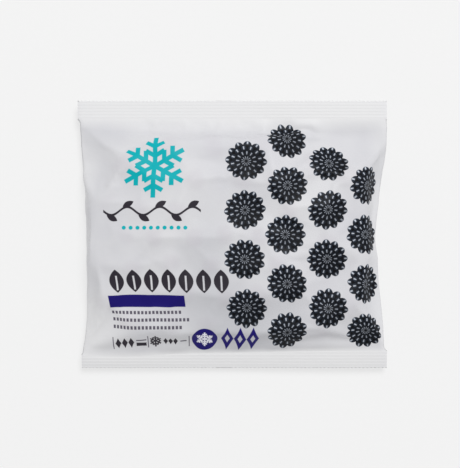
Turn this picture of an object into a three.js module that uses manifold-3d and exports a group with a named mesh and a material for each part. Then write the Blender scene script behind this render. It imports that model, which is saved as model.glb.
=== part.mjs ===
// A sealed pillow bag of frozen bramble berries, lying on its back.
//
// One web of film is folded round into a tube. Its two long edges are welded face to face in a fin seam
// down the back, and the tube is pressed flat and welded across at both ends in ribbed cross seals. The
// berries lie loose inside. The film is drawn thicker than real film, and the outside sizes are true.
//
// Millimetres, +Z up. The origin is under the middle of the bag, on the surface that it lies on. The front
// panel faces up, and the top seal is towards +Y.

import * as THREE from "three";
import { ConvexGeometry } from "three/addons/geometries/ConvexGeometry.js";
import { mergeVertices } from "three/addons/utils/BufferGeometryUtils.js";
import Module from "manifold-3d";

// ---- Driving dimensions -------------------------------------------------------------------------

const TUBE_WIDTH = 200; // the film tube pressed flat, which is the width of a cross seal
const BAG_LENGTH = 172.5; // from cut edge to cut edge
const SEAL_DEPTH = 12; // each cross seal, along the bag
const SEAL_HEIGHT = 8; // of a cross seal's middle above the table
const FILM = 0.6; // thickness of one ply

const CREST_HEIGHT = 29; // the fill at its highest
const DRAPE = 2.5; // how far the front panel sags between berries
const CREST_Y = -8; // the fill has settled a little towards the bottom seal
const FOLD_HEIGHT = 11; // of the side folds, at the fullest section

// The side folds, from the top seal to the bottom seal: place along the bag, and reach from its middle.
const LEFT_FOLD = [[74.5, 98.4], [54, 97.2], [22, 94.8], [-20, 93.8], [-58, 93.9], [-74.5, 96.8]];
const RIGHT_FOLD = [[74.5, 99.4], [54, 98.4], [22, 95.2], [-6, 92.8], [-38, 95.6], [-74.5, 98.8]];

const FIN_WIDTH = 10; // the fin seam, folded flat against the back panel
const RIB_PITCH = 2.4; // of the cross seals' ribs
const RIB_RISE = 0.25;
const VENT_RADIUS = 1.5; // of the air vent in the back panel
const VENT_PLACE = new THREE.Vector2(58, 60);

const BERRY_COUNT = 46;
const BERRY_LENGTH = 25; // average, from calyx end to tip
const BERRY_WIDTH = 19.6; // average
const BERRY_SPREAD = 0.08; // sizes vary by this share either way
const DRUPELETS = 26; // on each berry
const CLEFT_DEPTH = 0.17; // between drupelets, as a share of the berry's radius
const GAP = 0.4; // kept clear between one berry and the next
const FILM_GAP = 0.8; // kept clear between a berry and the film

// ---- Shape of the filled film tube --------------------------------------------------------------

const HALF_WIDTH = TUBE_WIDTH / 2;
const HALF_BODY = BAG_LENGTH / 2 - SEAL_DEPTH;
const FRONT_SQUARENESS = 3.6; // 2 is an ellipse, more is flatter on top with fuller shoulders
const BACK_SQUARENESS = 4;
const END_SQUARENESS = 3.4;
const END_ROUNDNESS = 0.72;
const FIN_THICKNESS = 2 * FILM;
const FIN_SHELF = 1; // the back panel stays level for this much past the fin's edges,
const FIN_TROUGH = 12; // and settles to the table by this much past them
const FIN_FADE = 4; // how fast the back panel rises over the fin, going in from a cross seal
const BACK_PRESS = 1.25; // how far past the table the back would bulge, if the table didn't flatten it

const FOLD_STEPS = 120;

function foldPoints(places) {
  const curve = new THREE.CatmullRomCurve3(places.map(([y, x]) => new THREE.Vector3(x, y, 0)));
  return curve.getPoints(FOLD_STEPS);
}

const LEFT_POINTS = foldPoints(LEFT_FOLD);
const RIGHT_POINTS = foldPoints(RIGHT_FOLD);

// A side fold's distance from the middle line at y.
function foldReach(points, y) {
  const next = points.findIndex((point) => point.y <= y);
  if (next < 0) return points[points.length - 1].x;
  if (next === 0) return points[0].x;
  const [above, below] = [points[next - 1], points[next]];
  return THREE.MathUtils.mapLinear(y, above.y, below.y, above.x, below.x);
}

// How full the bag is at y: 1 at the crest and 0 at a cross seal.
function fullness(y) {
  const reach = y > CREST_Y ? HALF_BODY - CREST_Y : HALF_BODY + CREST_Y;
  const share = Math.min(1, Math.abs(y - CREST_Y) / reach);
  return (1 - share ** END_SQUARENESS) ** END_ROUNDNESS;
}

// The section at y, on the outside of the film or inset from it: heights of the crest, the side folds, the
// back and the table under it, how far the back rises over the fin seam, and the side folds' reach.
function sectionAt(y, inset) {
  const full = fullness(y + Math.sign(y - CREST_Y) * inset);
  const between = (atSeal, atCrest) => atSeal + (atCrest - atSeal) * full;
  return {
    front: between(SEAL_HEIGHT + FILM, CREST_HEIGHT) - inset,
    fold: between(SEAL_HEIGHT, FOLD_HEIGHT),
    back: between(SEAL_HEIGHT - FILM, FOLD_HEIGHT * (1 - BACK_PRESS)) + inset,
    table: inset,
    finRise: FIN_THICKNESS * Math.min(1, FIN_FADE * full),
    left: foldReach(LEFT_POINTS, y) - inset,
    right: foldReach(RIGHT_POINTS, y) - inset,
  };
}

const arch = (share, squareness) => Math.sqrt(Math.max(0, 1 - Math.abs(share) ** squareness));

// Height of the front panel over x, before the film is draped over the berries.
function frontHeight(section, x) {
  const share = x / (x < 0 ? section.left : section.right);
  return section.fold + (section.front - section.fold) * arch(share, FRONT_SQUARENESS);
}

// The back panel lies flat on the table, and rises over the fin seam that is folded under it.
function backHeight(section, x) {
  const share = x / (x < 0 ? section.left : section.right);
  const height = section.fold - (section.fold - section.back) * arch(share, BACK_SQUARENESS);
  const fromFin = Math.abs(x + FIN_WIDTH / 2) - FIN_WIDTH / 2;
  const rise = section.finRise * (1 - THREE.MathUtils.smoothstep(fromFin, FIN_SHELF, FIN_TROUGH));
  return Math.max(section.table, height) + rise;
}

// ---- The berries' places ------------------------------------------------------------------------

// Small seeded generator of numbers from 0 to 1, so that every run packs the same bag.
function seeded(seed) {
  let state = seed;
  return () => {
    state = (state + 0x6d2b79f5) | 0;
    let t = Math.imul(state ^ (state >>> 15), 1 | state);
    t = (t + Math.imul(t ^ (t >>> 7), 61 | t)) ^ t;
    return ((t ^ (t >>> 14)) >>> 0) / 4294967296;
  };
}

const PACKING_SEED = 11;
const PACKING_ROUNDS = 1500;
const PACKING_GRAVITY = 0.02; // mm that a loose berry drops in a round
const PACKING_SHARE = 0.5; // of an overlap, mended in a round

// Each berry is packed as two balls on a rod. They are scattered in the tube, and then dropped and pushed
// apart until none cuts another or the film.
function packBerries() {
  const random = seeded(PACKING_SEED);
  const vary = () => 1 + BERRY_SPREAD * (2 * random() - 1);
  const berries = [];
  for (let i = 0; i < BERRY_COUNT; i++) {
    const length = BERRY_LENGTH * vary();
    const width = BERRY_WIDTH * vary();
    const middle = new THREE.Vector3(
      (2 * random() - 1) * 78,
      CREST_Y + (2 * random() - 1) * 50,
      width / 2 + 1 + random() * 8,
    );
    const along = new THREE.Vector3(2 * random() - 1, 2 * random() - 1, 0.5 * (2 * random() - 1));
    along.setLength((length - width) / 2);
    berries.push({
      length,
      width,
      turn: 2 * Math.PI * random(),
      ends: [middle.clone().add(along), middle.clone().sub(along)],
    });
  }
  for (let round = 0; round < PACKING_ROUNDS; round++) settle(berries);
  return berries;
}

function settle(berries) {
  const push = new THREE.Vector3();
  for (const berry of berries) for (const end of berry.ends) end.z -= PACKING_GRAVITY;
  for (let i = 0; i < berries.length; i++)
    for (let j = i + 1; j < berries.length; j++) {
      const clear = (berries[i].width + berries[j].width) / 2 + GAP;
      for (const a of berries[i].ends)
        for (const b of berries[j].ends) {
          const apart = push.subVectors(a, b).length();
          if (apart >= clear) continue;
          push.multiplyScalar((PACKING_SHARE * (clear - apart)) / apart);
          a.add(push);
          b.sub(push);
        }
    }
  for (const berry of berries) {
    const [a, b] = berry.ends;
    const stretch = push.subVectors(a, b).length() - (berry.length - berry.width);
    push.setLength(stretch / 2);
    a.sub(push);
    b.add(push);
    for (const end of berry.ends) keepInside(end, berry.width / 2 + FILM + FILM_GAP);
  }
}

const FEELER = 1; // mm over which a panel's slope is read

// Moves a ball's centre back until it is clear of both panels by the reach given.
function keepInside(centre, reach) {
  for (const side of [1, -1]) {
    const height = side > 0 ? frontHeight : backHeight;
    const at = (x, y) => height(sectionAt(y, 0), x);
    const z = at(centre.x, centre.y);
    const slopeX = (at(centre.x + FEELER, centre.y) - at(centre.x - FEELER, centre.y)) / (2 * FEELER);
    const slopeY = (at(centre.x, centre.y + FEELER) - at(centre.x, centre.y - FEELER)) / (2 * FEELER);
    const out = new THREE.Vector3(-slopeX, -slopeY, 1).multiplyScalar(side).normalize();
    const depth = side * (z - centre.z) * Math.abs(out.z);
    if (depth < reach) centre.addScaledVector(out, depth - reach);
  }
}

// ---- Film draped over the berries ---------------------------------------------------------------

const DRAPE_RADIUS = 18; // of the film over a berry's top, flatter than the berry itself
const DRAPE_BLEND = 2.5; // mm over which two surfaces run into each other
const DRAPE_EDGE = 10; // width, along each edge of the panel, over which it goes taut
function smoothMax(a, b, blend) {
  const near = Math.max(0, blend - Math.abs(a - b)) / blend;
  return Math.max(a, b) + (near * near * blend) / 4;
}

// Height of the front panel, inset or not: it sags between the berries, rests on them, and is taut at its
// edges.
function drapedHeight(berries, section, x, y, inset) {
  const taut = frontHeight(section, x);
  let draped = taut - DRAPE;
  for (const { ends, width } of berries)
    for (const end of ends) {
      const aside = Math.hypot(x - end.x, y - end.y);
      if (aside > width) continue;
      const top = end.z + width / 2 + FILM_GAP + FILM - inset;
      const drop = DRAPE_RADIUS - Math.sqrt(DRAPE_RADIUS ** 2 - Math.min(aside, DRAPE_RADIUS - 1) ** 2);
      draped = smoothMax(draped, top - drop, DRAPE_BLEND);
    }
  const fromFold = x < 0 ? section.left + x : section.right - x;
  const slack = (fromEdge) => THREE.MathUtils.smoothstep(fromEdge, 0, DRAPE_EDGE);
  return taut + (draped - taut) * slack(fromFold) * slack(HALF_BODY - Math.abs(y));
}

// ---- Solids -------------------------------------------------------------------------------------

const wasm = await Module();
wasm.setup();

function solidFrom(geometry) {
  const bare = geometry.clone();
  for (const name of Object.keys(bare.attributes)) if (name !== "position") bare.deleteAttribute(name);
  const merged = mergeVertices(bare, 1e-4);
  return new wasm.Manifold(
    new wasm.Mesh({
      numProp: 3,
      vertProperties: merged.attributes.position.array,
      triVerts: new Uint32Array(merged.index.array),
    }),
  );
}

function geometryFrom(solid) {
  const mesh = solid.getMesh();
  const geometry = new THREE.BufferGeometry();
  geometry.setAttribute("position", new THREE.BufferAttribute(new Float32Array(mesh.vertProperties), 3));
  geometry.setIndex(new THREE.BufferAttribute(new Uint32Array(mesh.triVerts), 1));
  geometry.computeVertexNormals();
  return geometry;
}

// A closed skin over loops with the same number of points each, in rows along +Y. Seen from -Y, each loop
// runs anticlockwise. Both ends are closed by a fan of triangles about the hub.
function loft(loops, hub) {
  const size = loops[0].length;
  const [first, last] = [loops[0], loops[loops.length - 1]];
  const points = [...loops.flat(), hub.clone().setY(first[0].y), hub.clone().setY(last[0].y)];
  const [firstHub, lastHub, lastRow] = [points.length - 2, points.length - 1, points.length - 2 - size];
  const index = [];
  for (let i = 0; i < size; i++) {
    const next = (i + 1) % size;
    for (let row = 0; row < lastRow; row += size) {
      const [a, b] = [row + i, row + next];
      index.push(a, a + size, b, b, a + size, b + size);
    }
    index.push(i, next, firstHub, lastRow + next, lastRow + i, lastHub);
  }
  const geometry = new THREE.BufferGeometry().setFromPoints(points);
  geometry.setIndex(index);
  return geometry;
}

// ---- The film bag ------------------------------------------------------------------------------

const FRONT_STEPS = 24; // across the front panel
const BACK_STEPS = 12; // across the back panel
const BODY_STEPS = 20; // along the tube
const EVEN_SHARE = 0.9; // of a panel's width or the tube's length, taken in even steps
const FOLD_SHARES = [0.95, 0.982, 0.996]; // closer steps where the film turns round a side fold
const END_SHARES = [0.955, 0.985, 1]; // and where it runs up to a cross seal
const SEAL_SHOULDER = 0.15; // mm along the bag in which the tube's end steps out to the seal's full width
const CAVITY_END = 1.1; // mm from a cross seal to the end of the free space inside
const HUB = new THREE.Vector3(-FIN_WIDTH / 2, 0, SEAL_HEIGHT);

function evenSteps(count, reach) {
  return Array.from({ length: count + 1 }, (_, i) => reach * ((2 * i) / count - 1));
}

function sharesAcross(count) {
  return [...FOLD_SHARES.map((share) => -share).reverse(), ...evenSteps(count, EVEN_SHARE), ...FOLD_SHARES];
}

// Stations along the tube, closer together towards both ends.
function stations(reach) {
  const ends = END_SHARES.map((share) => share * reach);
  return [...ends.map((y) => -y).reverse(), ...evenSteps(BODY_STEPS, EVEN_SHARE * reach), ...ends];
}

// A loop round the bag at y: from the right side fold over the front to the left one, and back under the
// bag. On the outside it goes round the fin seam too, whose edges are welded face to face and folded flat.
function loopAt(y, { left, right, front, back, hasFin }) {
  const place = (share) => share * (share < 0 ? left : right);
  const pastFin = (share) => Math.abs(share * HALF_WIDTH + FIN_WIDTH / 2) > FIN_WIDTH / 2 + FIN_TROUGH;
  const besideFin = [FIN_SHELF, FIN_TROUGH / 2, FIN_TROUGH];
  const overFront = [-left, ...sharesAcross(FRONT_STEPS).map(place), right].reverse();
  const underBack = sharesAcross(BACK_STEPS).filter(pastFin).map(place);
  const [leftOfFin, rightOfFin] = [underBack.filter((x) => x < 0), underBack.filter((x) => x > 0)];
  const point = (x, z) => new THREE.Vector3(x, y, z);
  const finCorners = [
    point(-FIN_WIDTH, back(-FIN_WIDTH)),
    point(-FIN_WIDTH, back(-FIN_WIDTH) - FIN_THICKNESS),
    point(0, back(0) - FIN_THICKNESS),
    point(0, back(0)),
  ];
  return [
    ...overFront.map((x) => point(x, front(x))),
    ...leftOfFin.map((x) => point(x, back(x))),
    ...besideFin.map((aside) => point(-FIN_WIDTH - aside, back(-FIN_WIDTH - aside))).reverse(),
    ...(hasFin ? finCorners : []),
    ...besideFin.map((aside) => point(aside, back(aside))),
    ...rightOfFin.map((x) => point(x, back(x))),
  ];
}

function tubeLoops(berries, inset, reach) {
  return stations(reach).map((y) => {
    const section = sectionAt(y, inset);
    const front = (x) => drapedHeight(berries, section, x, y, inset);
    const back = (x) => backHeight(section, x);
    return loopAt(y, { ...section, front, back, hasFin: inset === 0 });
  });
}

// Both plies pressed into one ribbed strip, from the tube's end to the cut edge.
function sealLoops(side) {
  const steps = Math.round(SEAL_DEPTH / (RIB_PITCH / 2));
  return Array.from({ length: steps + 1 }, (_, i) => {
    const fromTube = i === 0 ? SEAL_SHOULDER : (SEAL_DEPTH * i) / steps;
    const middle = SEAL_HEIGHT + (i % 2) * RIB_RISE;
    const front = (x) => middle + (Math.abs(x) < HALF_WIDTH ? FILM : 0);
    const back = () => middle - FILM;
    const y = side * (HALF_BODY + fromTube);
    return loopAt(y, { left: HALF_WIDTH, right: HALF_WIDTH, front, back, hasFin: true });
  });
}

function filmBag(berries) {
  const outside = [...sealLoops(-1).reverse(), ...tubeLoops(berries, 0, HALF_BODY), ...sealLoops(1)];
  const inside = tubeLoops(berries, FILM, HALF_BODY - CAVITY_END);
  const vent = new THREE.CylinderGeometry(VENT_RADIUS, VENT_RADIUS, SEAL_HEIGHT, 16).rotateX(Math.PI / 2);
  vent.translate(VENT_PLACE.x, VENT_PLACE.y, 0);
  return solidFrom(loft(outside, HUB)).subtract(solidFrom(loft(inside, HUB))).subtract(solidFrom(vent));
}

// ---- The berries --------------------------------------------------------------------------------

const TAPER = 0.12; // how much narrower the tip end is than the calyx end

// Drupelets' tops, spread evenly over a berry of radius 1 and length 2.
function drupeletTops() {
  const turn = Math.PI * (3 - Math.sqrt(5));
  return Array.from({ length: DRUPELETS }, (_, i) => {
    const height = 1 - (2 * i + 1) / DRUPELETS;
    const radius = Math.sqrt(1 - height ** 2);
    return new THREE.Vector3(radius * Math.cos(i * turn), radius * Math.sin(i * turn), height);
  });
}

// One lobed skin: each drupelet's top is a point, and a cleft runs between each pair of neighbours.
function berryGeometry() {
  const hull = mergeVertices(new ConvexGeometry(drupeletTops()).deleteAttribute("normal"));
  const points = hull.attributes.position;
  const faces = hull.index.array;
  const top = (i) => new THREE.Vector3().fromBufferAttribute(points, i);
  const positions = [];
  const clefts = new Map();
  for (let f = 0; f < faces.length; f += 3) {
    const [a, b, c] = faces.slice(f, f + 3);
    const cleft = new THREE.Vector3().add(top(a)).add(top(b)).add(top(c)).setLength(1 - CLEFT_DEPTH);
    for (const [from, to] of [[a, b], [b, c], [c, a]]) clefts.set(`${from} ${to}`, cleft);
  }
  for (const [edge, left] of clefts) {
    const [from, to] = edge.split(" ").map(Number);
    const right = clefts.get(`${to} ${from}`);
    for (const corner of [top(from), right, left]) positions.push(...corner.toArray());
  }
  const geometry = new THREE.BufferGeometry();
  geometry.setAttribute("position", new THREE.Float32BufferAttribute(positions, 3));
  return geometry;
}

function berryMesh(shape, { ends, length, width, turn }, name) {
  const geometry = shape.clone();
  const points = geometry.attributes.position;
  for (let i = 0; i < points.count; i++) {
    const slim = 1 - TAPER * points.getZ(i);
    points.setXY(i, points.getX(i) * slim, points.getY(i) * slim);
  }
  const widest = 1 + TAPER / 2;
  geometry.scale(width / 2 / widest, width / 2 / widest, length / 2);
  geometry.computeVertexNormals();
  const mesh = new THREE.Mesh(geometry, berrySkin);
  mesh.name = name;
  mesh.position.addVectors(...ends).multiplyScalar(0.5);
  mesh.quaternion.setFromUnitVectors(new THREE.Vector3(0, 0, 1), ends[0].clone().sub(ends[1]).normalize());
  mesh.rotateZ(turn);
  return mesh;
}

const whiteFilm = new THREE.MeshStandardMaterial({ color: 0xd6d6d9, roughness: 0.38 });
const berrySkin = new THREE.MeshStandardMaterial({ color: 0x26212f, roughness: 0.55 });

const bag = new THREE.Group();
const berries = packBerries();
const film = new THREE.Mesh(geometryFrom(filmBag(berries)), whiteFilm);
film.name = "film_bag";
bag.add(film);

const berryShape = berryGeometry();
berries.forEach((berry, i) => {
  bag.add(berryMesh(berryShape, berry, `berry_${String(i + 1).padStart(2, "0")}`));
});

export default bag;
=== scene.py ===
import math
import random

import bmesh
import bpy
import numpy as np
from mathutils import Matrix, Vector
from mathutils.bvhtree import BVHTree


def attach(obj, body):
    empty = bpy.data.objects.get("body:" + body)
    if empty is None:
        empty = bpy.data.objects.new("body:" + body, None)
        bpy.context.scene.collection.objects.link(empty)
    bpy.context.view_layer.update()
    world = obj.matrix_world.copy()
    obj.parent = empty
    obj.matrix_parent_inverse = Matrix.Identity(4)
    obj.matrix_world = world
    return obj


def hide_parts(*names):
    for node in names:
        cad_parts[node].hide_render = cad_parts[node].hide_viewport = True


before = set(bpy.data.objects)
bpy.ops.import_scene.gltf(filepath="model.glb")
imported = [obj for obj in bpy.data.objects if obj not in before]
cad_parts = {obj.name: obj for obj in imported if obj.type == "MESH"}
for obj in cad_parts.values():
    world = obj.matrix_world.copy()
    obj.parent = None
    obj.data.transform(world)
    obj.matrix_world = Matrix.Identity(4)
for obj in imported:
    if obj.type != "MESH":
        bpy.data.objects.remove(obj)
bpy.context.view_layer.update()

# ---------------------------------------------------------------------------------------
# The load: loose frozen bramble berries. Each is a cluster of round drupelets grown tight
# round a soft core, with a shallow scar where the stalk was and a bloom of fine frost.
# ---------------------------------------------------------------------------------------
MM = 0.001  # sizes are in mm, and Blender's own unit is the metre
BERRY_CUTS = 5
BERRY_SHAPES = 6
# A berry's own form is worked out on a ball of radius 1.
DRUPELETS = 54
DRUPELET_CENTRE = 0.76
DRUPELET_RADIUS = 0.265
DRUPELET_SIZES = (0.9, 1.08)
HEIGHT_JITTER = 0.03
TURN_JITTER = 0.16
CORE = 0.83
SCAR_DEPTH = 0.24
SCAR_SPREAD = 0.42
GOLDEN_ANGLE = math.pi * (3 - math.sqrt(5))


def tint(red, green, blue):
    """A colour as a maker's chart gives it, from 0 to 255, in the light that shaders use."""
    parts = [c / 255 for c in (red, green, blue)]
    return (*(c / 12.92 if c <= 0.04045 else ((c + 0.055) / 1.055) ** 2.4 for c in parts), 1)


class Shade:
    """A shader socket that takes arithmetic: each operator adds its own Math node."""

    tree = None

    def __init__(self, socket):
        self.socket = socket

    @classmethod
    def node(cls, kind, settings, sockets, output=0):
        """Any node: its type, its settings, and the values or links of its sockets."""
        made = cls.tree.nodes.new("ShaderNode" + kind)
        for name, value in settings.items():
            setattr(made, name, value)
        for place, value in sockets.items():
            if isinstance(value, Shade):
                cls.tree.links.new(value.socket, made.inputs[place])
            else:
                made.inputs[place].default_value = value
        return cls(made.outputs[output])

    def maths(self, operation, *others, clamp=False):
        settings = {"operation": operation, "use_clamp": clamp}
        return Shade.node("Math", settings, dict(enumerate((self, *others))))

    def __add__(self, other):
        return self.maths("ADD", other)

    def __sub__(self, other):
        return self.maths("SUBTRACT", other)

    def __mul__(self, other):
        return self.maths("MULTIPLY", other)

    def __rsub__(self, other):
        return Shade.node("Math", {"operation": "SUBTRACT"}, {0: other, 1: self})

    __radd__ = __add__
    __rmul__ = __mul__


def mixed(share, base, over):
    """Colour over laid on colour base by share, from 0 to 1."""
    return Shade.node("Mix", {"data_type": "RGBA"}, {0: share, 6: base, 7: over}, 2)


def finish_of(name, constants):
    """A new material, with its Principled shader's plain values set on the sockets."""
    material = bpy.data.materials.new(name)
    material.use_nodes = True
    Shade.tree = material.node_tree
    shader = material.node_tree.nodes["Principled BSDF"]
    for place, value in constants.items():
        shader.inputs[place].default_value = value
    return material, shader


def feed(shader, place, shade):
    Shade.tree.links.new(shade.socket, shader.inputs[place])


def noise(points, scale, detail=2.0, roughness=0.5):
    sockets = {"Vector": points, "Scale": scale, "Detail": detail, "Roughness": roughness}
    return Shade.node("TexNoise", {}, sockets)


def bumped(strength, distance, height):
    """The surface's normal, pushed about by a height of up to distance metres."""
    return Shade.node(
        "Bump", {}, {"Strength": strength, "Distance": distance, "Height": height}
    )


CLEFT_RED = tint(58, 10, 30)
CLEFT_BLACK = tint(28, 8, 34)
CROWN_BLUE = tint(24, 20, 44)
CROWN_PURPLE = tint(44, 30, 58)
FROST = tint(206, 212, 226)
FROST_COVER = 0.62
RIPE_SCALE, FROST_SCALE, GRAIN_SCALE = 90, 240, 1500


def berry_skin():
    """Blue-black skin, redder down in the clefts, with frost caught on the crowns."""
    material, shader = finish_of(
        "frozen_berry",
        {"Roughness": 0.4, "Specular IOR Level": 0.5, "Coat Weight": 0.25, "Coat Roughness": 0.2},
    )
    place = Shade.node("TexCoord", {}, {}, "Object")
    swell = Shade.node("Attribute", {"attribute_name": "swell"}, {}, "Fac")
    ripe = noise(place, RIPE_SCALE, 1)
    cleft = mixed(ripe, CLEFT_RED, CLEFT_BLACK)
    crown = mixed(ripe, CROWN_BLUE, CROWN_PURPLE)
    skin = mixed(swell.maths("POWER", 0.6), cleft, crown)
    frost = noise(place, FROST_SCALE, 4, 0.7) * swell
    frost = frost.maths("MULTIPLY_ADD", 3.2, -1.15, clamp=True)
    feed(shader, "Base Color", mixed(frost * FROST_COVER, skin, FROST))
    feed(shader, "Roughness", frost * 0.35 + 0.32)
    grain = noise(place, GRAIN_SCALE, 2)
    feed(shader, "Normal", bumped(0.25, 0.3 * MM, grain + frost))
    return material


def berry_form(ball, seed):
    """How far out the drupelets reach along each direction of a ball, and how swollen."""
    draw = random.Random(seed)
    tops = []
    for k in range(DRUPELETS):
        height = 1 - 2 * (k + 0.5) / DRUPELETS + draw.uniform(-HEIGHT_JITTER, HEIGHT_JITTER)
        turn = k * GOLDEN_ANGLE + draw.uniform(-TURN_JITTER, TURN_JITTER)
        ring = math.sqrt(max(0.0, 1 - height * height))
        tops.append((height, ring * math.cos(turn), ring * math.sin(turn)))
    centres = np.array(tops) * DRUPELET_CENTRE
    radii = np.array([DRUPELET_RADIUS * draw.uniform(*DRUPELET_SIZES) for _ in tops])
    along = ball @ centres.T
    room = radii**2 - DRUPELET_CENTRE**2 + along**2
    reach = np.where(room > 0, along + np.sqrt(np.maximum(room, 0)), 0).max(axis=1)
    reach = np.maximum(reach, CORE)
    swell = np.clip((reach - CORE) / (reach.max() - CORE), 0, 1)
    from_stalk = np.arccos(np.clip(-ball[:, 0], -1, 1))
    scar = SCAR_DEPTH * np.exp(-((from_stalk / SCAR_SPREAD) ** 2))
    return ball * (reach * (1 - scar))[:, None], swell


def lie_of(node):
    """Where a berry lies: its centre, its three axes and its half sizes along them."""
    points = np.array([v.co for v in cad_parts[node].data.vertices], float)
    centre = points.mean(axis=0)
    axes = np.linalg.svd(points - centre, full_matrices=False)[2]
    axes[2] *= np.sign(np.linalg.det(axes))
    spread = (points - centre) @ axes.T
    low, high = spread.min(axis=0), spread.max(axis=0)
    return centre + (low + high) / 2 @ axes, axes, (high - low) / 2


ball_mesh = bmesh.new()
bmesh.ops.create_icosphere(ball_mesh, subdivisions=BERRY_CUTS, radius=1)
ball = bpy.data.meshes.new("ball")
ball_mesh.to_mesh(ball)
ball_mesh.free()
directions = np.array([v.co for v in ball.vertices], float)
directions /= np.linalg.norm(directions, axis=1)[:, None]
forms = [berry_form(directions, seed) for seed in range(BERRY_SHAPES)]
frozen_berry = berry_skin()
berry_lies = []
for n, node in enumerate(sorted(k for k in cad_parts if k.startswith("berry_"))):
    form, swell = forms[n % BERRY_SHAPES]
    centre, axes, half = lie_of(node)
    berry_lies.append((centre, axes, half))
    points = form / np.linalg.norm(form, axis=1).max() * half @ axes + centre
    mesh = ball.copy()
    mesh.name = f"frozen_{node}"
    mesh.vertices.foreach_set("co", points.astype(np.float32).ravel())
    mesh.attributes.new("swell", "FLOAT", "POINT").data.foreach_set(
        "value", swell.astype(np.float32)
    )
    mesh.shade_smooth()
    mesh.materials.append(frozen_berry)
    berry = bpy.data.objects.new(f"frozen_{node}", mesh)
    bpy.context.scene.collection.objects.link(berry)
    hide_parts(node)
    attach(berry, "root")

# ---------------------------------------------------------------------------------------
# The bag: one web of white film, printed flat, rolled into a tube and welded to itself in
# a fin down the back, then crimped shut across both ends with the load inside.
# ---------------------------------------------------------------------------------------
TUBE = 200.0
LENGTH = 172.5
SEAL_DEPTH = 12.0
SEAL_HEIGHT = 8.0
BODY = LENGTH / 2 - SEAL_DEPTH
FIN_WIDTH = 10.0
CELL = 2.5
COLUMNS = 160
ROWS = 60
PLY = 0.3
CREST_HEIGHT = 29.0
CREST_Y = -8.0
FOLD_HEIGHT = 11.0
FRONT_SQUARENESS = 3.6
BACK_SQUARENESS = 4.0
END_SQUARENESS = 3.4
END_ROUNDNESS = 0.72
BACK_PRESS = 2.75
TABLE_CLEAR = 0.25
SEAL_WAVE = 0.7
SEAL_WAVE_LONG, SEAL_WAVE_SHORT = 77, 31
FOLD_BAND = (6, 16)
FOLD_MARGIN = 0.6
RING_SAMPLES = 2001
# Places nearer than this count as one: the first two in mm, the others in metres.
SAME_ROW = 0.01
SAME_EDGE = 0.1
SAME_SPOT = 1e-6
SAME_SEAM = 1e-5

solid = bmesh.new()
solid.from_mesh(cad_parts["film_bag"].data)
bmesh.ops.remove_doubles(solid, verts=solid.verts, dist=SAME_SPOT)
film_solid = BVHTree.FromBMesh(solid)
solid.free()


def fold_reach(y, side):
    """How far out the tube's side fold stands at y, in mm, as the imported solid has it."""
    best = 0.0
    for z in np.linspace(*FOLD_BAND, 11):
        start = Vector((side * TUBE, y, z)) * MM
        hit = film_solid.ray_cast(start, Vector((-side, 0, 0)))[0]
        if hit is not None:
            best = max(best, abs(hit.x) / MM)
    return best


def short_of_seal(y):
    """The nearest place to y along the bag that is open tube."""
    return math.copysign(min(abs(y), BODY - FOLD_MARGIN), y)


def fullness(y):
    """How filled the bag is at y: 1 at its crest, and 0 where a seal starts."""
    reach = BODY - CREST_Y if y > CREST_Y else BODY + CREST_Y
    share = min(1.0, abs(y - CREST_Y) / reach)
    return (1 - share**END_SQUARENESS) ** END_ROUNDNESS


def seal_line(x, y):
    """Height of a seal's middle: it isn't quite flat, and its corners lift a little."""
    end = math.copysign(1, y)
    short = np.sin(x / SEAL_WAVE_SHORT + 0.8 * end)
    return SEAL_HEIGHT + SEAL_WAVE * short * np.cos(x / SEAL_WAVE_LONG - 0.5)


def tube_ring(y):
    """One ring of the tube at y, from the back's middle round the left fold to the front."""
    half = COLUMNS // 2
    if abs(y) >= BODY:
        front_x = back_x = np.linspace(-TUBE / 2, TUBE / 2, half + 1)
        middle = seal_line(front_x, y)
        ply = np.where(np.abs(front_x) < TUBE / 2 - SAME_EDGE, PLY, 0)
        front_z, back_z = middle + ply, middle - ply
    else:
        inner = short_of_seal(y)
        left, right = fold_reach(inner, -1), fold_reach(inner, 1)
        full = fullness(y)
        share = np.linspace(-1, 1, RING_SAMPLES)
        x = share * np.where(share < 0, left, right)
        middle = seal_line(x, y)
        fold = middle + (FOLD_HEIGHT - middle) * full
        crest = middle + PLY + (CREST_HEIGHT - middle - PLY) * full
        base = middle - PLY - (BACK_PRESS + middle - PLY) * full
        front_z = fold + (crest - fold) * np.sqrt(1 - np.abs(share) ** FRONT_SQUARENESS)
        back_z = fold - (fold - base) * np.sqrt(1 - np.abs(share) ** BACK_SQUARENESS)
        back_z = np.maximum(back_z, TABLE_CLEAR)
        rings = []
        for z in (front_z, back_z):
            run = np.concatenate([[0], np.cumsum(np.hypot(np.diff(x), np.diff(z)))])
            even = np.linspace(0, run[-1], half + 1)
            rings.append((np.interp(even, run, x), np.interp(even, run, z)))
        (front_x, front_z), (back_x, back_z) = rings
    quarter = half // 2
    x = np.concatenate([back_x[quarter:0:-1], front_x, back_x[-2:quarter:-1]])
    z = np.concatenate([back_z[quarter:0:-1], front_z, back_z[-2:quarter:-1]])
    return np.stack([x, np.full(COLUMNS, y), z], axis=1) * MM


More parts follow.
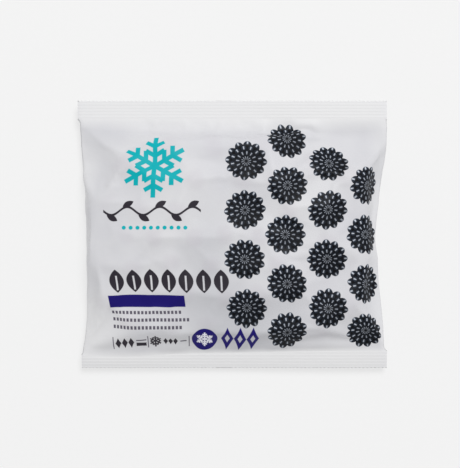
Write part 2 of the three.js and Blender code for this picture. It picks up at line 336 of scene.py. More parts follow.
# The flat web carries, at every corner, how far it lies from the front's middle line and
# how far along the bag, and which side it is on, so the print stays where it was laid.
web = bmesh.new()
across = web.verts.layers.float.new("across")
along = web.verts.layers.float.new("along")
side_of = web.faces.layers.int.new("side")
web.loops.layers.uv.new("web")
bmesh.ops.create_grid(web, x_segments=COLUMNS, y_segments=ROWS, size=0.5)
row_y = np.linspace(-BODY, BODY, ROWS + 1)
rings = np.array([tube_ring(y) for y in row_y])
for face in web.faces:
    face[side_of] = 1 if face.calc_center_median().x > 0 else -1
for vert in web.verts:
    column = round((vert.co.x + 0.5) * COLUMNS)
    row = round((vert.co.y + 0.5) * ROWS)
    vert[across] = abs(column - COLUMNS // 2) * CELL
    vert[along] = row_y[row]
    vert.co = rings[row, column % COLUMNS]
bmesh.ops.remove_doubles(
    web, verts=[v for v in web.verts if v[across] > TUBE - SAME_EDGE], dist=SAME_SPOT
)
bmesh.ops.recalc_face_normals(web, faces=web.faces)

# The film is held tautest at the tube's four corners.
DRAPE_FRAMES = 25
TAUT_REACH = 42
TAUT_MOST = 1.3
TAUT_ALONG = 1.2


def draped_over(mesh):
    """The tube filled: film in Cloth, blown out softly, and drawn down over the load."""
    cloth_mesh = bpy.data.meshes.new("cloth")
    mesh.to_mesh(cloth_mesh)
    tube = bpy.data.objects.new("cloth", cloth_mesh)
    load = bmesh.new()
    for centre, axes, half in berry_lies:
        place = Matrix.Translation(centre) @ Matrix(axes.T.tolist()).to_4x4()
        bmesh.ops.create_icosphere(
            load, subdivisions=3, radius=1, matrix=place @ Matrix.Diagonal((*half, 1))
        )
    load_mesh = bpy.data.meshes.new("load")
    load.to_mesh(load_mesh)
    load.free()
    table = bmesh.new()
    bmesh.ops.create_grid(table, x_segments=1, y_segments=1, size=0.3)
    table_mesh = bpy.data.meshes.new("table")
    table.to_mesh(table_mesh)
    table.free()
    solids = [bpy.data.objects.new(m.name, m) for m in (load_mesh, table_mesh)]
    for thing in (tube, *solids):
        bpy.context.scene.collection.objects.link(thing)
    for thing in solids:
        thing.modifiers.new("Collision", "COLLISION")
        thing.collision.thickness_outer = 0.3 * MM
        thing.collision.thickness_inner = 4 * MM
        thing.collision.cloth_friction = 2
        thing.collision.damping = 0.3
    sealed = tube.vertex_groups.new(name="sealed")
    ends = [v.index for v in mesh.verts if abs(v[along]) > BODY - SAME_ROW]
    sealed.add(ends, 1.0, "REPLACE")
    taut = tube.vertex_groups.new(name="taut")
    for vert in mesh.verts:
        aside, ahead = TUBE / 2 - abs(vert.co.x) / MM, BODY - abs(vert[along])
        held = TAUT_MOST - math.hypot(aside, ahead * TAUT_ALONG) / TAUT_REACH
        taut.add([vert.index], min(1.0, max(0.0, held)), "REPLACE")
    cloth = tube.modifiers.new("Cloth", "CLOTH")
    how = cloth.settings
    how.quality = 8
    how.mass = 0.3
    how.tension_stiffness = how.compression_stiffness = 60
    how.shear_stiffness = 5
    how.bending_stiffness = 0.5
    how.tension_damping = how.compression_damping = how.shear_damping = 5
    how.bending_damping = 0.5
    how.air_damping = 2
    how.vertex_group_mass = "sealed"
    how.shrink_min = -0.01
    how.shrink_max = 0.004
    how.vertex_group_shrink = "taut"
    how.use_pressure = True
    how.uniform_pressure_force = 0.1
    how.effector_weights.gravity = 0.3
    cloth.collision_settings.collision_quality = 3
    cloth.collision_settings.distance_min = 0.6 * MM
    cloth.collision_settings.use_self_collision = False
    cloth.point_cache.frame_end = DRAPE_FRAMES
    for step in range(1, DRAPE_FRAMES + 1):
        bpy.context.scene.frame_set(step)
    seen = tube.evaluated_get(bpy.context.evaluated_depsgraph_get()).data
    points = np.empty(len(seen.vertices) * 3)
    seen.vertices.foreach_get("co", points)
    for thing in (tube, *solids):
        bpy.data.objects.remove(thing)
    bpy.context.scene.frame_set(1)
    return points.reshape(-1, 3) / MM


points = draped_over(web)

# The tube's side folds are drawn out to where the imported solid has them, the right one
# bellying out a little more in three places. The load has slid to the lower end, where the
# film hangs over the seal's first ribs. The panel at the back stands clear of the table
# where the fin lies under it.
SEAL_REACH = {(-1, -1): 96.6, (1, -1): 100.2, (-1, 1): 99.2, (1, 1): 100.2}
RIGHT_EASE = ((62, 36, 1.8), (-16, 9, 1.2), (-54, 18, 0.8))
OVERHANG = 2.0
OVERHANG_FROM = -45.0
LOW_SAG = ((-72, 30, 2.4), (70, 60, -1.6))
LOW_SAG_FROM = -58.0
FILM_CLEAR = 0.95
CLEARING_ROUNDS = 3
FIN_ROOM = 1.15
FIN_LEAD, FIN_RAMP, FIN_TAIL = 4, 3, 2


def seal_x(round_tube, end):
    """Where a point of a sealed end stands, from how far round the tube it lies."""
    out = np.minimum(np.abs(round_tube), TUBE - np.abs(round_tube)) * 2 / TUBE
    side = np.sign(round_tube)
    reach = np.where(side < 0, SEAL_REACH[-1, int(end)], SEAL_REACH[1, int(end)])
    return side * out * reach


def swollen(swells, place):
    """How far a few soft swells stand out at a place: each has a middle, a spread and mm."""
    return sum(mm * np.exp(-(((place - at) / spread) ** 2)) for at, spread, mm in swells)


def seal_start(end, x):
    """How far along the bag a seal shows from, at x."""
    return BODY if end > 0 else -BODY - OVERHANG - swollen(LOW_SAG, x)


ends = np.array([v[along] for v in web.verts])
for y in row_y[1:-1]:
    row = np.abs(ends - y) < SAME_ROW
    for side in (-1, 1):
        part = row & (points[:, 0] * side > 0)
        reach = (points[part, 0] * side).max()
        ease = swollen(RIGHT_EASE, y) if side > 0 else 0.0
        points[part, 0] *= (fold_reach(short_of_seal(y), side) + ease) / reach
out = np.array([v[across] for v in web.verts])
for end in (-1, 1):
    row = ends * end > BODY - SAME_ROW
    points[row, 0] = seal_x(np.copysign(out[row], points[row, 0]), end)
low = points[:, 1] < OVERHANG_FROM
points[low, 1] += (points[low, 1] - OVERHANG_FROM) * OVERHANG / (BODY + OVERHANG_FROM)
low = points[:, 1] < LOW_SAG_FROM
share = (LOW_SAG_FROM - points[low, 1]) / (BODY + OVERHANG + LOW_SAG_FROM)
points[low, 1] -= share * swollen(LOW_SAG, points[low, 0])
for _ in range(CLEARING_ROUNDS):
    for centre, axes, half in berry_lies:
        inside = (points * MM - centre) @ axes.T / half
        reach = np.linalg.norm(inside, axis=1)
        least = 1 + FILM_CLEAR * MM / half.min()
        tight = reach < least
        inside[tight] *= (least / reach[tight])[:, None]
        points[tight] = (inside[tight] * half @ axes + centre) / MM
x = points[:, 0]
over_fin = np.clip((x + FIN_WIDTH + FIN_LEAD) / FIN_RAMP, 0, 1)
over_fin *= np.clip((FIN_TAIL - x) / FIN_TAIL, 0, 1)
floor = TABLE_CLEAR + (FIN_ROOM - TABLE_CLEAR) * over_fin * (out > TUBE / 2)
points[:, 2] = np.maximum(points[:, 2], floor)
for vert, point in zip(web.verts, points):
    vert.co = Vector(point) * MM

# The film lies easy at the top corners, where little of the load reaches.
EASY_CORNER = 46.0
EASY_ALONG = 1.1
EASY_MARGIN = 3
EASED = 10
easy = [
    v for v, (x, y, _) in zip(web.verts, points)
    if abs(v[along]) < BODY - SAME_ROW and EASY_MARGIN < v[across] < TUBE / 2 - EASY_MARGIN
    and math.hypot(TUBE / 2 - abs(x), (BODY - y) * EASY_ALONG) < EASY_CORNER
]
for _ in range(EASED):
    bmesh.ops.smooth_vert(
        web, verts=easy, factor=0.5, use_axis_x=False, use_axis_y=False, use_axis_z=True
    )

# The web was longer before it was filled: its rows lay nearly as far apart as the front's
# do now, less what the film gave where it is drawn over the ends of the load.
DRAWN = 0.5
FRONT_PANEL = 80
FLAT_WIDTH = TUBE * 2 + FIN_WIDTH * 2
front_rows = [points[(np.abs(ends - y) < SAME_ROW) & (out < FRONT_PANEL)] for y in row_y]
front_rows = [row[np.argsort(row[:, 0])] for row in front_rows]
steps = [np.hypot(*(b - a)[:, 1:].T).mean() for a, b in zip(front_rows, front_rows[1:])]
flat_y = np.concatenate([[0], np.cumsum(steps)])
flat_y = (flat_y - flat_y[-1] / 2) * (1 - DRAWN) + row_y * DRAWN
FLAT_LENGTH = (flat_y[-1] + SEAL_DEPTH) * 2
row_y_ends = np.concatenate([[-LENGTH / 2], row_y, [LENGTH / 2]])
flat_y_ends = np.concatenate([[-FLAT_LENGTH / 2], flat_y, [FLAT_LENGTH / 2]])


def layers_of(mesh):
    """Where a mesh of the film keeps how far across and along it lies, and on which side."""
    lengths = mesh.verts.layers.float
    return lengths["across"], lengths["along"], mesh.faces.layers.int["side"]


def lay_web(mesh):
    """Writes where each corner of each face lies on the flat web, from 0 to 1."""
    across_, along_, side_ = layers_of(mesh)
    uv = mesh.loops.layers.uv["web"]
    for face in mesh.faces:
        for loop in face.loops:
            u = face[side_] * loop.vert[across_]
            v = np.interp(loop.vert[along_], row_y_ends, flat_y_ends)
            loop[uv].uv = (u / FLAT_WIDTH + 0.5, v / FLAT_LENGTH + 0.5)


# The outer face is cut finer, so that the small folds are smooth.
SMOOTHED = 2
lining = web.copy()
bmesh.ops.subdivide_edges(web, edges=web.edges, cuts=1, use_grid_fill=True)
inner_verts = [v for v in web.verts if not v.is_boundary]
for _ in range(SMOOTHED):
    bmesh.ops.smooth_vert(
        web, verts=inner_verts, factor=0.5, use_axis_x=True, use_axis_y=True, use_axis_z=True
    )


def knots_of(mesh):
    """Each corner of the tube by where it lies on the web, as (mm across, mm along)."""
    across_, along_, side_ = layers_of(mesh)
    found = {}
    for corner in mesh.verts:
        out = round(corner[across_], 2)
        side = corner.link_faces[0][side_] if 0 < out < TUBE else 1
        found[side * out, round(corner[along_], 2)] = corner
    return found


# Inner face of the film, a little inside the outer one and closed at both seals. Where
# the tube is pressed nearly flat the two stay apart.
LINING_DEPTH = 0.75
LINING_SHARE = 0.4
LINING_ENDS = 0.99
RAY_START = 0.01
web.normal_update()
shell = BVHTree.FromBMesh(web)
outer_knots = knots_of(web)
for where, vert in knots_of(lining).items():
    knot = outer_knots[where]
    inward = -knot.normal
    clear = shell.ray_cast(knot.co + inward * RAY_START * MM, inward)[3]
    depth = LINING_DEPTH * MM if clear is None else min(LINING_DEPTH * MM, clear * LINING_SHARE)
    vert.co = knot.co + inward * depth
lining_across, lining_along, _ = layers_of(lining)
lining_ends = [v for v in lining.verts if abs(v[lining_along]) > BODY - SAME_ROW]
for vert in lining_ends:
    end = math.copysign(1, vert[lining_along])
    x = LINING_ENDS * float(seal_x(math.copysign(vert[lining_across], vert.co.x), end))
    vert.co = Vector((x, seal_start(end, x), seal_line(x, end))) * MM
lay_web(lining)
bmesh.ops.remove_doubles(lining, verts=lining_ends, dist=SAME_SEAM)
bmesh.ops.reverse_faces(lining, faces=lining.faces)

# Crimped end seals: both plies run on through the jaws, which press in level ribs, and
# the knife leaves a fine zigzag edge.
SEAL_ROWS = 24
RIB_PITCH = 2.0
RIB_RISE = 0.07
RIB_FADE = 0.8
TOOTH = 0.5
LOW_SEAL_DROOP = 2.2
DROOP_CURVE = 1.5


def grown(mesh, edge):
    """The next row out from an open edge of the film: its corners and its new edge."""
    made = bmesh.ops.extrude_edge_only(mesh, edges=edge)["geom"]
    corners = {g for g in made if isinstance(g, bmesh.types.BMVert)}
    edges = [g for g in made if isinstance(g, bmesh.types.BMEdge)]
    return corners, [e for e in edges if all(v in corners for v in e.verts)]


def crimp(depth, whole):
    """How far the ribs lift a seal at a depth, with the ribs level with its cut edge."""
    fade = min(1.0, depth / RIB_FADE, (whole - depth) / RIB_FADE)
    return RIB_RISE * fade * math.sin((whole - depth) / RIB_PITCH * 2 * math.pi)


for end in (-1, 1):
    edge = [
        e for e in web.edges
        if e.is_boundary and all(v[along] * end > BODY - SAME_ROW for v in e.verts)
    ]
    for n in range(1, SEAL_ROWS + 1):
        fresh, edge = grown(web, edge)
        droop = LOW_SEAL_DROOP * (n / SEAL_ROWS) ** DROOP_CURVE if end < 0 else 0
        for vert in fresh:
            out = vert[across]
            reach = min(out, TUBE - out)
            x = float(seal_x(math.copysign(out, vert.co.x), end))
            start = seal_start(end, x)
            whole = LENGTH / 2 - abs(start)
            depth = whole * n / SEAL_ROWS
            y = start + end * depth
            ply = 0 if n == SEAL_ROWS else PLY * np.clip(TUBE / 2 - reach, 0, 1)
            z = seal_line(x, y) + crimp(depth, whole) + math.copysign(ply, TUBE / 2 - out)
            tooth = TOOTH if n == SEAL_ROWS and round(reach / CELL * 2) % 2 else 0
            vert[along] = end * (BODY + SEAL_DEPTH * n / SEAL_ROWS)
            vert.co = Vector((x, y - end * tooth, z - droop)) * MM

# The fin: the web's two edges are welded face to face and folded flat to the left.
FIN_STEPS = 6
FIN_TURN = 0.5
SEAM_GAP = 0.2
FIN_GAP = 0.25
FIN_PLY = 0.35
END_CLEAR = 1
UNDER_BAG = -20
web.normal_update()
panel = BVHTree.FromBMesh(web)
seam = [e for e in web.edges if all(v[across] > TUBE - SAME_ROW for v in e.verts)]
bmesh.ops.split_edges(web, edges=seam)
for vert in web.verts:
    if vert[across] > TUBE - SAME_ROW and abs(vert[along]) < LENGTH / 2 - SAME_ROW:
        vert.co.x += vert.link_faces[0][side_of] * SEAM_GAP / 2 * MM
for side in (-1, 1):
    edge = [
        e for e in web.edges
        if e.is_boundary and all(v[across] > TUBE - SAME_ROW for v in e.verts)
        and e.link_faces[0][side_of] == side
    ]
    depth = FIN_GAP if side < 0 else FIN_GAP + FIN_PLY
    for n in range(1, FIN_STEPS + 1):
        fresh, edge = grown(web, edge)
        out = FIN_TURN + (FIN_WIDTH - FIN_TURN) * (n - 1) / (FIN_STEPS - 1)
        for vert in fresh:
            vert[across] = TUBE + out
            x = -out * MM
            y = vert.co.y
            within = math.copysign(min(abs(y), (LENGTH / 2 - END_CLEAR) * MM), y)
            start = Vector((x, within, UNDER_BAG * MM))
            above = panel.ray_cast(start, Vector((0, 0, 1)))[0]
            rim = abs(vert[along]) > LENGTH / 2 - SAME_ROW or n == FIN_STEPS
            drop = FIN_GAP + FIN_PLY / 2 if rim else depth
            vert.co = Vector((x, y, above.z - drop * MM))
lay_web(web)
cut_edges = [v for v in web.verts if abs(v[along]) > LENGTH / 2 - SAME_ROW]
bmesh.ops.remove_doubles(web, verts=cut_edges, dist=SAME_SEAM)
web_edges = [v for v in web.verts if v[across] > TUBE + FIN_WIDTH - SAME_ROW]
bmesh.ops.remove_doubles(web, verts=web_edges, dist=SAME_SEAM)

# The vent: a needle hole through the back panel that lets the air out when bags are
# stacked. The film's two faces meet round it.
VENT_ACROSS = TUBE - 58.0
VENT_ALONG = 60.0
VENT_RADIUS = 1.5
VENT_PATCH = 2.1


def pricked(mesh, cell):
    """Opens a round hole in one face of the film, four cells of the given size across."""
    across_, along_, side_ = layers_of(mesh)
    right = {v for f in mesh.faces if f[side_] > 0 for v in f.verts}
    hub = min(right, key=lambda v: math.hypot(v[across_] - VENT_ACROSS, v[along_] - VENT_ALONG))
    middle, x, y = hub.co.copy(), hub[across_], hub[along_]
    patch = [
        f for f in mesh.faces if f[side_] > 0 and all(
            max(abs(v[across_] - x), abs(v[along_] - y)) < VENT_PATCH * cell for v in f.verts
        )
    ]
    rim = {e for f in patch for e in f.edges if any(g not in patch for g in e.link_faces)}
    for vert in {v for e in rim for v in e.verts}:
        turn = math.atan2(vert.co.y - middle.y, vert.co.x - middle.x)
        vert.co.x = middle.x + VENT_RADIUS * MM * math.cos(turn)
        vert.co.y = middle.y + VENT_RADIUS * MM * math.sin(turn)
        vert.co.z = middle.z
    bmesh.ops.delete(mesh, geom=patch, context="FACES")


pricked(web, CELL / 2)
pricked(lining, CELL)
lining_mesh = bpy.data.meshes.new("lining")
lining.to_mesh(lining_mesh)
lining.free()
web.from_mesh(lining_mesh)
bmesh.ops.bridge_loops(web, edges=[e for e in web.edges if e.is_boundary])
bmesh.ops.triangulate(web, faces=[f for f in web.faces if len(f.verts) > 4])

# Where the film is drawn tight over a berry, the dark fruit shows through it faintly.
SHOW_DEPTH = 3.2
touch = web.verts.layers.float.new("touch")
skin_points = np.array([v.co for v in web.verts])
nearest = np.full(len(skin_points), SHOW_DEPTH)
for centre, axes, half in berry_lies:
    reach = np.linalg.norm((skin_points - centre) @ axes.T / half, axis=1)
    nearest = np.minimum(nearest, (reach - 1) * half.mean() / MM)
for vert, clear in zip(web.verts, nearest):
    vert[touch] = 1 - max(clear, 0) / SHOW_DEPTH

# The seals' side edges stay crisp.
for edge in web.edges:
    edge.smooth = not all(
        abs(v[across] - TUBE / 2) < SAME_ROW and abs(v[along]) > BODY - SAME_ROW
        for v in edge.verts
    )
film_mesh = bpy.data.meshes.new("printed_film_bag")
web.to_mesh(film_mesh)
web.free()
film_mesh.shade_smooth()

INK_BLUR = 0.16


def shape(distance, blur=INK_BLUR):
    """The inked share of a point from its distance outside a shape's edge, in mm."""
    return distance.maths("MULTIPLY_ADD", -0.5 / blur, 0.5, clamp=True)


def larger(a, b):
    return a.maths("MAXIMUM", b)


def smaller(a, b):
    return a.maths("MINIMUM", b)


def size(a):
    return a.maths("ABSOLUTE")


def from_middle(x, y):
    """The two coordinates of a point on the web, counted from a motif's own middle."""
    return web_point[0] - x, web_point[1] - y


def box_of(point, width, height):
    """An upright oblong."""
    return larger(size(point[0]) - width / 2, size(point[1]) - height / 2)


def far(point):
    """How far a point lies from its motif's middle."""
    return (point[0] * point[0] + point[1] * point[1]).maths("SQRT")


def leaf_of(point, length, width):
    """A pointed leaf lying along x."""
    taper = point[0] * (2 / length)
    return size(point[1]) - (1 - taper * taper) * (width / 2)


def turned(point, angle):
    """A point seen from a motif that is turned by angle."""
    c, s = math.cos(angle), math.sin(angle)
    return point[0] * c + point[1] * s, point[1] * c - point[0] * s


def cell_of(value, pitch):
    """A coordinate within the nearest of evenly spaced motifs."""
    return value - (value * (1 / pitch)).maths("ROUND") * pitch


def snowflake(point, reach, stroke, twigs):
    """Six arms with paired twigs, the common sign for frozen goods."""
    radius = far(point)
    angle = point[0].maths("ARCTAN2", point[1]).maths("PINGPONG", math.pi / 6)
    out = radius * angle.maths("COSINE")
    up = radius * angle.maths("SINE")
    found = larger(up - stroke / 2, out - reach)
    c, s = math.cos(math.pi / 3), math.sin(math.pi / 3)
    for start, length in twigs:
        ahead = out - start
        aside = size(ahead * s - up * c) - stroke / 2
        down = size(ahead * c + up * s - length / 2) - length / 2
        found = smaller(found, larger(aside, down))
    return found


SEAL_WHITE = tint(228, 228, 229)
BODY_WHITE = tint(217, 217, 219)
SHADE_WHITE = tint(207, 207, 212)
FOLD_WHITE = tint(226, 226, 228)
DEEP_SHADE = tint(190, 191, 196)
FRUIT_SHOW = tint(176, 164, 178)
CHARCOAL = tint(46, 42, 50)
TEAL = tint(0, 172, 180)
INDIGO = tint(24, 14, 104)
ICE = tint(238, 238, 246)
STEEL = tint(92, 88, 100)
BLUE_BLACK = tint(3, 3, 7)
SLATE = tint(58, 69, 86)
GLINT = tint(234, 240, 250)

film, shader = finish_of(
    "printed_white_film",
    {"Roughness": 0.45, "Specular IOR Level": 0.12, "Coat Weight": 0.03, "Coat Roughness": 0.3},
)
flat_place = Shade.node("UVMap", {"uv_map": "web"}, {})
parts = [Shade.node("SeparateXYZ", {}, {0: flat_place}, n) for n in (0, 1)]
web_point = (
    parts[0].maths("MULTIPLY_ADD", FLAT_WIDTH, -FLAT_WIDTH / 2),
    parts[1].maths("MULTIPLY_ADD", FLAT_LENGTH, -FLAT_LENGTH / 2),
)
object_place = Shade.node("TexCoord", {}, {}, "Object")

# White film with a cool cast, faintly mottled. It is greyer over the dark load than at the seals,
# with painted shade making it grey faster towards the lower seal, where the film turns down, and
# darker still where fruit lies against it.
CLOUD_SCALE = 26
# How fast the film greys for each mm from a seal, in the top half and in the lower one. The
# faster greying in the lower half is painted shade.
TOP_GREYING, LOW_GREYING = 0.11, 0.31
FOLD_FROM, FOLD_FADE, FOLD_SHARE = 84, 16, 0.7
TOUCH_SHARE = 0.26
PATCH_EDGE = 1.2
# Soft patches of painted shade, and one of painted light low on the left: the middle, how far
# each reaches both ways, its colour and its share.
SHADE_AND_LIGHT_PATCHES = (
    (-14, -26, 24, 52, DEEP_SHADE, 0.65),
    (4, -60, 48, 32, DEEP_SHADE, 0.8),
    (-92, -60, 32, 30, SEAL_WHITE, 0.7),
    (96, 44, 24, 40, DEEP_SHADE, 0.2),
    (-88, 70, 34, 16, DEEP_SHADE, 0.25),
)
cloud = noise(object_place, CLOUD_SCALE, 2).maths("MULTIPLY_ADD", 1.8, -0.4, clamp=True)
greying = shape(web_point[1]) * (LOW_GREYING - TOP_GREYING) + TOP_GREYING
from_seal = FLAT_LENGTH / 2 - SEAL_DEPTH - size(web_point[1])
# Greyness away from the seals: the dark load behind the film, plus painted shade towards the
# lower seal.
load_tint_and_shade = (from_seal * greying).maths("ADD", 0.15, clamp=True)
ground = mixed(load_tint_and_shade, SEAL_WHITE, mixed(cloud, BODY_WHITE, SHADE_WHITE))
# Lighter towards the side folds: partly the two plies of film with no load behind, partly painted
# light on the folds, which turn away from the lamp.
fold = (size(web_point[0]) - FOLD_FROM).maths("MULTIPLY_ADD", 1 / FOLD_FADE, 0, clamp=True)
ground = mixed(fold * FOLD_SHARE, ground, FOLD_WHITE)
# Lays the patches of painted shade and painted light on the film.
for u, v, reach_u, reach_v, tone, share in SHADE_AND_LIGHT_PATCHES:
    off_u, off_v = from_middle(u, v)
    patch = 1 - far((off_u * (1 / reach_u), off_v * (1 / reach_v)))
    patch = patch.maths("MULTIPLY_ADD", PATCH_EDGE, 0, clamp=True) * load_tint_and_shade
    ground = mixed(patch * share, ground, tone)
touched = Shade.node("Attribute", {"attribute_name": "touch"}, {}, "Fac")
ground = mixed(touched * TOUCH_SHARE, ground, FRUIT_SHOW)

# Right-hand side: dark rosettes in an even half-drop repeat, each turned its own way. A
# ring of petals lies over the ring outside it, half a petal round from it. The top right
# corner is left bare.
ROSETTE_START = 8.0
ROSETTE_PITCH_X = 25.6
ROSETTE_PITCH_Y = 31.4
ROSETTE_LEFT, ROSETTE_RIGHT, ROSETTE_END = 0.0, 98.0, 66.0
BARE_RIGHT, BARE_TOP = 80, 40
ROSETTE_RADIUS = 12.7
RINGS, PETALS = 4, 12
PETAL_POINT = 2.4
STREAK_WIDTH = 0.13
STREAK_IN, STREAK_HALF = 1.2, 0.8
STREAK_BLUR, STREAK_SHARE = 0.3, 0.8
column = ((web_point[0] - ROSETTE_START) * (1 / ROSETTE_PITCH_X)).maths("ROUND")
drop = (1 - column.maths("PINGPONG", 1)) * (ROSETTE_PITCH_Y / 2)
row = ((web_point[1] - drop) * (1 / ROSETTE_PITCH_Y)).maths("ROUND")
middle = (column * ROSETTE_PITCH_X + ROSETTE_START, row * ROSETTE_PITCH_Y + drop)
cell_name = Shade.node("CombineXYZ", {}, {0: column, 1: row})
chance = Shade.node("TexWhiteNoise", {"noise_dimensions": "2D"}, {"Vector": cell_name}, "Value")
level = (web_point[0] - middle[0], web_point[1] - middle[1])
out = far(level)
petal_angle = level[1].maths("ARCTAN2", level[0]) * (PETALS / (2 * math.pi)) + chance
lit = (level[1] - level[0]).maths("MULTIPLY_ADD", 0.02, 0.75, clamp=True)
rosette = mixed(lit, BLUE_BLACK, SLATE)
# From the outermost ring in. Aside runs from 0 down a petal's middle to 1 at its sides,
# and rise from 0 at a petal's foot to 1 at its edge.
for ring in range(RINGS, 0, -1):
    tip = ROSETTE_RADIUS * ring / RINGS
    aside = size(cell_of(petal_angle + ring / 2, 1)) * 2
    edge = out - tip + aside * aside * (PETAL_POINT * ring / RINGS)
    if ring == RINGS:
        outline = edge
    rise = (edge * (RINGS / ROSETTE_RADIUS) + 1).maths("MAXIMUM", 0)
    petal = mixed(rise * (1 - aside) * lit, BLUE_BLACK, SLATE)
    petal_half = tip * math.pi / PETALS
    streak = larger((aside - STREAK_WIDTH) * petal_half, size(edge + STREAK_IN) - STREAK_HALF)
    petal = mixed(shape(streak, STREAK_BLUR) * lit * STREAK_SHARE, petal, GLINT)
    rosette = mixed(shape(edge), rosette, petal)
wanted = shape(ROSETTE_LEFT - middle[0]) * shape(middle[0] - ROSETTE_RIGHT)
wanted = wanted * shape(size(middle[1]) - ROSETTE_END)
wanted = wanted * shape(smaller(middle[0] - BARE_RIGHT, middle[1] - BARE_TOP))
ground = mixed(shape(outline) * wanted, ground, rosette)

# Left-hand side: plain ornament laid out down a left margin, in mm from the web's middle.
# A snowflake's size is its reach, its stroke, and where its pairs of twigs start and how
# long they are.
MARGIN = -78.5
FLAKE_AT = (-48.2, 44.0)
FLAKE_SIZE = (20.5, 2.9, ((6.6, 6.8), (12.6, 6.4)))
VINE_AT = (-48.7, 15.0)
VINE_WAVE, VINE_SWING, VINE_STROKE, VINE_HALF = 20, 2.6, 0.8, 30
SPRIG_ROOT = (0.4, -4.4)
SPRIG_TURN = -0.5
SPRIG_LENGTH, SPRIG_WIDTH = 7.6, 3.9
DOTS_AT = (-46.8, 4.4)
DOT_PITCH, DOT_RADIUS, DOTS_HALF = 4.2, 1.25, 20.5
FRIEZE_AT = (-39.4, -29.6)
BLADE_PITCH, BLADE_LENGTH, BLADE_WIDTH, FRIEZE_HALF = 10.8, 15.0, 9.2, 37.8
VEIN_HALF, VEIN_REACH, VEIN_DROP = 0.55, 4.6, 1.2
STRIP_AT = (-54.4, -42.6)
STRIP_SIZE = (48.2, 7.8)
DASHED = ((-49.9, 45.6), (-54.5, 50.4), (-59.1, 45.6))
DASH_PITCH, DASH_SIZE = 2.4, (1.5, 2.0)
LOW_ROW = -69.4
BARS = (-78.3, -55.6, -28.9)
BAR_SIZE = (0.6, 8.6)
SMALL_FLAKE_AT = (-50.8, LOW_ROW)
SMALL_FLAKE_SIZE = (4.0, 1.0, ((1.9, 1.9),))
# Each block's middle, its width and height, and its ink.
BLOCKS = (
    (-60.0, -71.2, 6.6, 2.4, CHARCOAL),
    (-60.0, -68.0, 6.6, 0.9, STEEL),
    (-32.6, -69.6, 4.0, 0.9, STEEL),
)
# Each row's middle, then its pitch, slant, reach and half length.
LOZENGES = ((-70.8, -69.5, 4.2, 2.0, 3.9, 6.2), (-41.0, LOW_ROW, 3.2, 1.6, 2.5, 4.7))
DISC_AT = (-18.9, -67.9)
DISC_RADIUS = 8.3
DISC_FLAKE_SIZE = (5.8, 0.95, ((2.2, 2.2), (3.8, 1.6)))
GEMS_AT = (3.9, -67.8)
GEM_PITCH, GEM_SLANT, GEM_REACH, GEM_STROKE, GEMS_HALF = 8.2, 2.1, 5.9, 1.1, 12.2
# How far off a gem's sloping side a point is, as a share of how far above it.
GEM_LEAN = 0.43


def lozenge_row(at, pitch, slant, reach, half):
    """Upright lozenges side by side, as far as half to each side of the row's middle."""
    point = from_middle(*at)
    lozenge = size(cell_of(point[0], pitch)) * slant + size(point[1]) - reach
    return lozenge, size(point[0]) - half


vine = from_middle(*VINE_AT)
wave = (vine[0] * (2 * math.pi / VINE_WAVE)).maths("SINE")
stem = larger(size(vine[1] - wave * VINE_SWING) - VINE_STROKE, size(vine[0]) - VINE_HALF)
half_waves = (vine[0] * (2 / VINE_WAVE)).maths("FLOOR")
upward = half_waves.maths("PINGPONG", 1).maths("MULTIPLY_ADD", 2, -1)
sprig = (
    cell_of(vine[0] - VINE_WAVE / 4, VINE_WAVE / 2) - SPRIG_ROOT[0],
    vine[1] * upward - SPRIG_ROOT[1],
)
leaves = leaf_of(turned(sprig, SPRIG_TURN), SPRIG_LENGTH, SPRIG_WIDTH)
leaves = larger(leaves, size(vine[0]) - VINE_HALF)
dots = from_middle(*DOTS_AT)
dot = (cell_of(dots[0] - DOT_PITCH / 2, DOT_PITCH), dots[1])
dots = larger(far(dot) - DOT_RADIUS, size(dots[0]) - DOTS_HALF)
frieze = from_middle(*FRIEZE_AT)
upright = (cell_of(frieze[0], BLADE_PITCH), frieze[1])
blade = leaf_of((upright[1], upright[0]), BLADE_LENGTH, BLADE_WIDTH)
vein = larger(size(upright[0]) - VEIN_HALF, size(upright[1] + VEIN_DROP) - VEIN_REACH)
blade = larger(larger(blade, vein * -1), size(frieze[0]) - FRIEZE_HALF)
marks = [
    (TEAL, snowflake(from_middle(*FLAKE_AT), *FLAKE_SIZE)),
    (CHARCOAL, smaller(stem, leaves)),
    (TEAL, dots),
    (CHARCOAL, blade),
    (INDIGO, box_of(from_middle(*STRIP_AT), *STRIP_SIZE)),
    (INDIGO, far(from_middle(*DISC_AT)) - DISC_RADIUS),
    (ICE, snowflake(from_middle(*DISC_AT), *DISC_FLAKE_SIZE)),
    (CHARCOAL, snowflake(from_middle(*SMALL_FLAKE_AT), *SMALL_FLAKE_SIZE)),
]
for v, width in DASHED:
    line = from_middle(MARGIN + width / 2, v)
    dash = (cell_of(line[0], DASH_PITCH), line[1])
    marks.append((STEEL, larger(box_of(dash, *DASH_SIZE), size(line[0]) - width / 2)))
for u in BARS:
    marks.append((STEEL, box_of(from_middle(u, LOW_ROW), *BAR_SIZE)))
for u, v, width, height, tone in BLOCKS:
    marks.append((tone, box_of(from_middle(u, v), width, height)))
for u, v, *sizes in LOZENGES:
    marks.append((CHARCOAL, larger(*lozenge_row((u, v), *sizes))))
gem, gems_end = lozenge_row(GEMS_AT, GEM_PITCH, GEM_SLANT, GEM_REACH, GEMS_HALF)
gem = size(gem * GEM_LEAN) - GEM_STROKE
marks.append((INDIGO, larger(gem, gems_end)))
for colour, distance in marks:
    ground = mixed(shape(distance), ground, colour)
feed(shader, "Base Color", ground)

# Fine crinkles all over the film.
CRINKLE_SCALE = 170
crinkle = noise(object_place, CRINKLE_SCALE, 3, 0.6)
feed(shader, "Roughness", crinkle * 0.16 + 0.38)
feed(shader, "Normal", bumped(0.3, 0.4 * MM, crinkle))
film_mesh.materials.append(film)
bag = bpy.data.objects.new("printed_film_bag", film_mesh)
bpy.context.scene.collection.objects.link(bag)
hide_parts("film_bag")
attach(bag, "root")

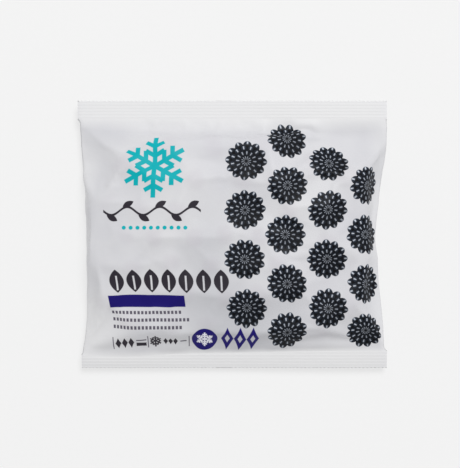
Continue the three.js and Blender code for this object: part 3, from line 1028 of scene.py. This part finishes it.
# ---------------------------------------------------------------------------------------
# The stage: a pale table, soft light from all round, and a camera straight above.
# ---------------------------------------------------------------------------------------
TABLE_SIZE = 8.0
TABLE_GLOW = 0.58
PAPER, PAPER_FLECK = tint(150, 150, 150), tint(153, 153, 153)
PAPER_SCALE = 400
STUDIO_LIGHT = 0.62
table_mesh = bmesh.new()
bmesh.ops.create_grid(table_mesh, x_segments=4, y_segments=4, size=TABLE_SIZE / 2)
table = bpy.data.objects.new("table", bpy.data.meshes.new("table"))
table_mesh.to_mesh(table.data)
table_mesh.free()
bpy.context.scene.collection.objects.link(table)
paper, shader = finish_of(
    "pale_table",
    {"Roughness": 0.9, "Specular IOR Level": 0.0, "Emission Strength": 1.0,
     "Emission Color": (TABLE_GLOW, TABLE_GLOW, TABLE_GLOW, 1)},
)
grain = noise(Shade.node("TexCoord", {}, {}, "Object"), PAPER_SCALE, 2)
feed(shader, "Base Color", mixed(grain, PAPER, PAPER_FLECK))
table.data.materials.append(paper)

world = bpy.data.worlds.new("studio")
bpy.context.scene.world = world
world.use_nodes = True
background = world.node_tree.nodes["Background"]
background.inputs["Color"].default_value = (1, 1, 1, 1)
background.inputs["Strength"].default_value = STUDIO_LIGHT

# One large round light, high beyond the bag's top end and a little to its right.
LAMP_PLACE = Vector((0.6, 1.5, 2.6))
LAMP_WIDTH = 1.6
LAMP_POWER = 46
light = bpy.data.lights.new("high_light", "AREA")
light.shape = "DISK"
light.size = LAMP_WIDTH
light.energy = LAMP_POWER
lamp = bpy.data.objects.new("high_light", light)
lamp.location = LAMP_PLACE
lamp.rotation_euler = (-LAMP_PLACE).to_track_quat("-Z", "Y").to_euler()
bpy.context.scene.collection.objects.link(lamp)

# In metres: how much the camera sees from top to bottom, at a level above the table.
VIEW_HEIGHT = 0.3009
VIEW_LEVEL = 0.010
CAMERA_X, CAMERA_Y = -0.00096, 0.00032
LENS = 100.0
SENSOR = 36.0
camera = bpy.data.objects.new("camera", bpy.data.cameras.new("camera"))
camera.data.lens = LENS
camera.data.sensor_width = SENSOR
camera.location = (CAMERA_X, CAMERA_Y, VIEW_LEVEL + LENS * VIEW_HEIGHT / SENSOR)
camera.data.clip_start = 0.05
camera.data.clip_end = 20
bpy.context.scene.collection.objects.link(camera)
bpy.context.scene.camera = camera
bpy.context.scene.view_settings.view_transform = "Standard"
